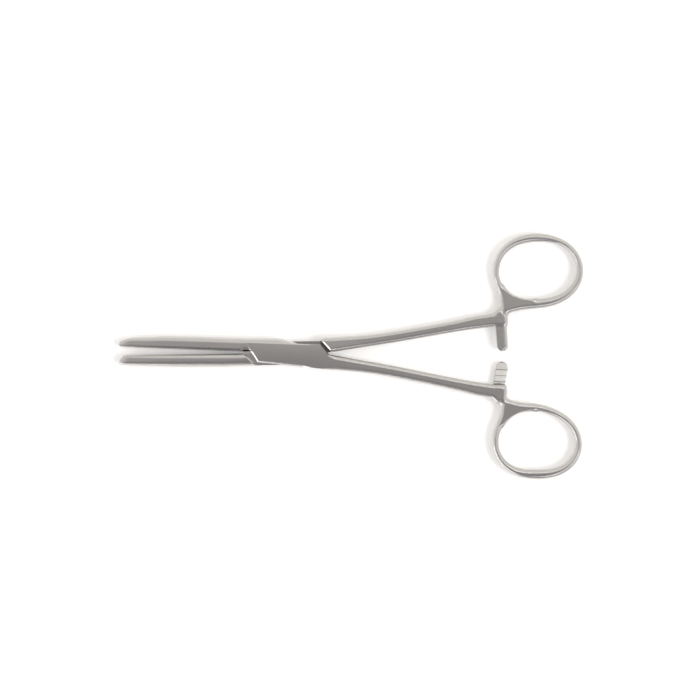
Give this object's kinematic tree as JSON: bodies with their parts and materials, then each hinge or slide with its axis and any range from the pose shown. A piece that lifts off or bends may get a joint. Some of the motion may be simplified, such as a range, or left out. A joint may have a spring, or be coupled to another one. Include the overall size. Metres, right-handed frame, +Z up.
{
  "type": "hemostat forceps",
  "caption": "Straight locking artery forceps with serrated jaws, a box lock, a ratchet and two finger rings, slightly open.",
  "frame": {"origin": "on the rivet's axis, at the underside of the box lock, where the forceps rest", "axes": "+X along the instrument from the rivet towards the finger rings, +Z up along the rivet's axis, the jaws point along -X"},
  "size_m": [0.16, 0.085, 0.0056],
  "materials": {
    "satin_steel": "satin-finished stainless steel"
  },
  "bodies": {
    "box_side": {"box_half": "satin_steel", "pivot_pin": "satin_steel"},
    "tongue_side": {"tongue_half": "satin_steel"}
  },
  "joints": [
    {"name": "box_lock", "type": "hinge", "parent": "box_side", "child": "tongue_side", "pos_m": [0, 0, 0], "axis": [0, 0, 1], "range_deg": [-3, 52]}
  ]
}
